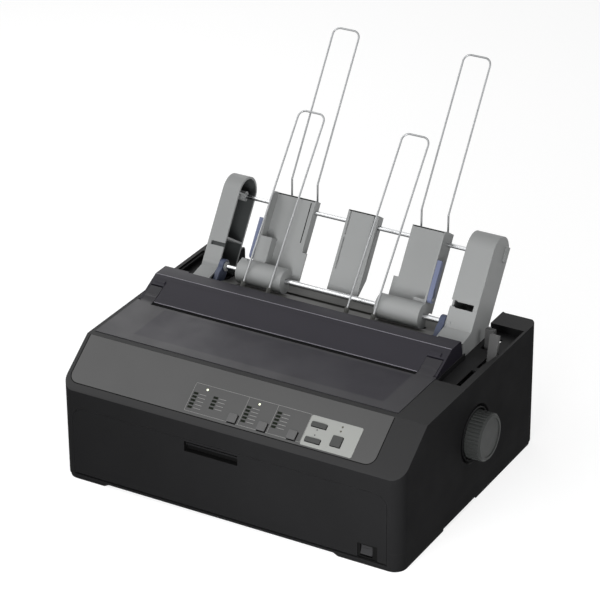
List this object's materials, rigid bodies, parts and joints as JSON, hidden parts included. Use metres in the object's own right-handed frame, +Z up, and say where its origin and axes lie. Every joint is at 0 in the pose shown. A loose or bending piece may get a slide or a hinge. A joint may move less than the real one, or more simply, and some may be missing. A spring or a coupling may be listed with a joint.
{
  "type": "dot matrix printer",
  "caption": "Dark grey desktop dot matrix printer with a hinged front cover, sloping control panel, feed knob and a tilted cut-sheet feeder with wire paper supports.",
  "frame": {"origin": "middle of the whole footprint, on the floor that the printer stands on", "axes": "+X to the printer's right along its width, +Y from the front to the rear, +Z up"},
  "size_m": [0.4278, 0.408, 0.3985],
  "materials": {
    "case_dark": "fine moulded texture, satin",
    "panel_dark": "smooth satin",
    "lid_smoke": "smoked, glossy",
    "hump_grey": "satin",
    "inner_black": "fine texture",
    "label_grey": "printed film",
    "key_grey": "satin",
    "key_dark": "satin",
    "lamp_lens": "clear moulded lens",
    "rubber_black": "matte",
    "feeder_grey": "fine moulded texture",
    "lever_blue": "satin",
    "bright_steel": "ground bar",
    "sheet_steel": "zinc plated sheet",
    "wire_dark": "coated wire",
    "knob_dark": "satin",
    "gear_white": "self-coloured nylon",
    "board_green": "coated laminate",
    "core_brown": "varnished core",
    "motor_grey": "painted case"
  },
  "bodies": {
    "chassis": {"lower_case": "case_dark", "upper_housing": "case_dark", "rubber_feet": "rubber_black", "control_panel": "panel_dark", "button_plate": "label_grey", "indicator_lights": "lamp_lens", "indicator_windows": "key_dark", "panel_board": "board_green", "hump_cover": "hump_grey", "rear_paper_guide": "inner_black", "switch_body": "inner_black", "side_frame_left": "sheet_steel", "side_frame_right": "sheet_steel", "front_guide": "inner_black", "motors": "motor_grey", "guide_rod": "bright_steel", "carriage_belt": "rubber_black", "main_board": "board_green", "transformer": "core_brown", "power_inlet": "inner_black", "interface_socket": "sheet_steel", "left_arm": "feeder_grey", "right_arm": "feeder_grey", "upper_shaft": "bright_steel", "stacker_wires": "wire_dark"},
    "front_door": {"front_cover": "case_dark"},
    "top_lid": {"lid": "lid_smoke"},
    "power_rocker": {"rocker_switch": "key_dark"},
    "platen_unit": {"platen": "rubber_black", "platen_shaft": "bright_steel", "platen_gear": "gear_white", "paper_feed_knob": "knob_dark"},
    "pinion": {"motor_pinion": "gear_white"},
    "feed_shaft": {"drive_shaft": "bright_steel"},
    "head_unit": {"carriage": "inner_black", "print_head": "motor_grey", "ribbon_cartridge": "inner_black"},
    "left_pulley": {"pulley_left": "gear_white"},
    "right_pulley": {"pulley_right": "gear_white"},
    "feed_selector": {"release_lever": "key_dark"},
    "gap_selector": {"thickness_lever": "key_dark"},
    "left_hopper_unit": {"left_hopper": "feeder_grey", "left_rear_wire": "wire_dark"},
    "left_lock": {"left_lock_lever": "lever_blue"},
    "left_roller": {"left_feed_roller": "rubber_black"},
    "right_hopper_unit": {"right_hopper": "feeder_grey", "right_rear_wire": "wire_dark"},
    "right_lock": {"right_lock_lever": "lever_blue"},
    "right_roller": {"right_feed_roller": "rubber_black"},
    "centre_unit": {"centre_support": "feeder_grey"},
    "left_latch": {"left_latch_lever": "lever_blue"},
    "right_latch": {"right_latch_lever": "lever_blue"},
    "key_a": {"button_a": "key_grey"},
    "key_b": {"button_b": "key_grey"},
    "key_c": {"button_c": "key_grey"},
    "key_d": {"button_d": "key_dark"},
    "key_e": {"button_e": "key_dark"},
    "key_f": {"button_f": "key_dark"}
  },
  "joints": [
    {"name": "front_cover_hinge", "type": "hinge", "parent": "chassis", "child": "front_door", "pos_m": [-0.0089, -0.2, 0.0116], "axis": [1, 0, 0], "range_deg": [0, 88]},
    {"name": "lid_hinge", "type": "hinge", "parent": "chassis", "child": "top_lid", "pos_m": [-0.0089, -0.0467, 0.15], "axis": [-1, 0, 0], "range_deg": [0, 100]},
    {"name": "power_switch_rock", "type": "hinge", "parent": "chassis", "child": "power_rocker", "pos_m": [0.1581, -0.1976, 0.01715], "axis": [1, 0, 0], "range_deg": [0, 15]},
    {"name": "platen_turn", "type": "hinge", "parent": "chassis", "child": "platen_unit", "pos_m": [-0.0089, -0.0388, 0.0835], "axis": [1, 0, 0], "continuous": true},
    {"name": "pinion_turn", "type": "hinge", "parent": "chassis", "child": "pinion", "pos_m": [-0.0089, -0.0518, 0.06098], "axis": [1, 0, 0], "continuous": true},
    {"name": "feed_shaft_turn", "type": "hinge", "parent": "chassis", "child": "feed_shaft", "pos_m": [-0.0089, 0.0354, 0.1625], "axis": [1, 0, 0], "continuous": true},
    {"name": "carriage_slide", "type": "slide", "parent": "chassis", "child": "head_unit", "axis": [1, 0, 0], "range_m": [0, 0.2]},
    {"name": "left_pulley_turn", "type": "hinge", "parent": "chassis", "child": "left_pulley", "pos_m": [-0.1589, -0.112, 0.059], "axis": [0, 0, 1], "continuous": true},
    {"name": "right_pulley_turn", "type": "hinge", "parent": "chassis", "child": "right_pulley", "pos_m": [0.1211, -0.112, 0.059], "axis": [0, 0, 1], "continuous": true},
    {"name": "release_lever_hinge", "type": "hinge", "parent": "chassis", "child": "feed_selector", "pos_m": [0.1841, 0.0183, 0.1185], "axis": [1, 0, 0], "range_deg": [-6, 10]},
    {"name": "thickness_lever_hinge", "type": "hinge", "parent": "chassis", "child": "gap_selector", "pos_m": [0.1686, 0.0483, 0.1185], "axis": [1, 0, 0], "range_deg": [-6, 6]},
    {"name": "left_hopper_slide", "type": "slide", "parent": "chassis", "child": "left_hopper_unit", "axis": [1, 0, 0], "range_m": [-0.008, 0.022]},
    {"name": "centre_support_slide", "type": "slide", "parent": "chassis", "child": "centre_unit", "axis": [1, 0, 0], "range_m": [-0.008, 0.008]},
    {"name": "right_hopper_slide", "type": "slide", "parent": "chassis", "child": "right_hopper_unit", "axis": [1, 0, 0], "range_m": [-0.018, 0.01]},
    {"name": "left_lock_hinge", "type": "hinge", "parent": "left_hopper_unit", "child": "left_lock", "pos_m": [-0.123, 0.04816, 0.17803], "axis": [1, 0, 0], "range_deg": [0, 35]},
    {"name": "right_lock_hinge", "type": "hinge", "parent": "right_hopper_unit", "child": "right_lock", "pos_m": [0.0965, 0.04816, 0.17803], "axis": [1, 0, 0], "range_deg": [0, 35]},
    {"name": "left_roller_turn", "type": "hinge", "parent": "left_hopper_unit", "child": "left_roller", "pos_m": [-0.1206, 0.0354, 0.1625], "axis": [1, 0, 0], "continuous": true},
    {"name": "right_roller_turn", "type": "hinge", "parent": "right_hopper_unit", "child": "right_roller", "pos_m": [0.0491, 0.0354, 0.1625], "axis": [1, 0, 0], "continuous": true},
    {"name": "left_latch_hinge", "type": "hinge", "parent": "chassis", "child": "left_latch", "pos_m": [-0.1545, 0.0354, 0.1625], "axis": [-1, 0, 0], "range_deg": [0, 30]},
    {"name": "right_latch_hinge", "type": "hinge", "parent": "chassis", "child": "right_latch", "pos_m": [0.1202, 0.0354, 0.1625], "axis": [-1, 0, 0], "range_deg": [0, 30]},
    {"name": "button_a_press", "type": "slide", "parent": "chassis", "child": "key_a", "axis": [0, 0.5863, -0.8101], "range_m": [0, 0.0008], "stiffness_N_per_m": 250, "springref_m": -0.0006},
    {"name": "button_b_press", "type": "slide", "parent": "chassis", "child": "key_b", "axis": [0, 0.5863, -0.8101], "range_m": [0, 0.0008], "stiffness_N_per_m": 250, "springref_m": -0.0006},
    {"name": "button_c_press", "type": "slide", "parent": "chassis", "child": "key_c", "axis": [0, 0.5863, -0.8101], "range_m": [0, 0.0008], "stiffness_N_per_m": 250, "springref_m": -0.0006},
    {"name": "button_d_press", "type": "slide", "parent": "chassis", "child": "key_d", "axis": [0, 0.5863, -0.8101], "range_m": [0, 0.0008], "stiffness_N_per_m": 250, "springref_m": -0.0006},
    {"name": "button_e_press", "type": "slide", "parent": "chassis", "child": "key_e", "axis": [0, 0.5863, -0.8101], "range_m": [0, 0.0008], "stiffness_N_per_m": 250, "springref_m": -0.0006},
    {"name": "button_f_press", "type": "slide", "parent": "chassis", "child": "key_f", "axis": [0, 0.5863, -0.8101], "range_m": [0, 0.0008], "stiffness_N_per_m": 250, "springref_m": -0.0006}
  ],
  "couplings": [
    {"joint": "pinion_turn", "follows": "platen_turn", "ratio": -3.3333},
    {"joint": "feed_shaft_turn", "follows": "platen_turn", "ratio": -2},
    {"joint": "left_roller_turn", "follows": "platen_turn", "ratio": -2},
    {"joint": "right_roller_turn", "follows": "platen_turn", "ratio": -2},
    {"joint": "left_pulley_turn", "follows": "carriage_slide", "rad_per_m": -160},
    {"joint": "right_pulley_turn", "follows": "carriage_slide", "rad_per_m": -160}
  ]
}
